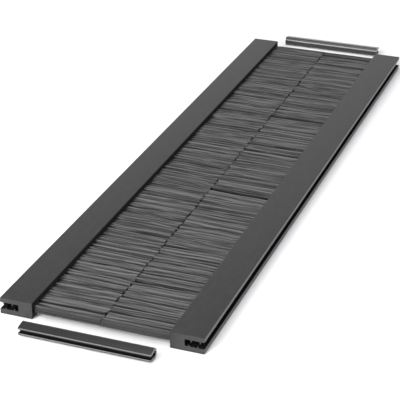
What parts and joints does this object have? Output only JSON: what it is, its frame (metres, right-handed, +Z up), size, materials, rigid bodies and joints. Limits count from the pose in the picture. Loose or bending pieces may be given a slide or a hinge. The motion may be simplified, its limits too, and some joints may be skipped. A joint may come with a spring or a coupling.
{
  "type": "brush cable entry set",
  "caption": "Long flat cable entry: slotted push-on rails hold facing bristle strips that meet in the middle, with short edge trims lying at the ends.",
  "frame": {"origin": "on the surface the set lies on, under the middle of its overall box", "axes": "+X right across the set, from the left rail to the right one; +Y back along the rails; +Z up, away from the surface"},
  "size_m": [0.1216, 0.497, 0.01],
  "materials": {
    "rail_plastic": "fine grained, satin black moulding",
    "channel_steel": "galvanised strip, rolled",
    "wire_steel": "drawn wire",
    "bristle_fibre": "fine black monofilament",
    "trim_plastic": "smooth extruded black plastic"
  },
  "bodies": {
    "root": {"left_rail": "rail_plastic", "right_rail": "rail_plastic", "left_brush_channel": "channel_steel", "right_brush_channel": "channel_steel", "left_core_wire": "wire_steel", "right_core_wire": "wire_steel", "left_bristles": "bristle_fibre", "right_bristles": "bristle_fibre", "front_edge_trim": "trim_plastic", "rear_edge_trim": "trim_plastic"}
  },
  "joints": []
}
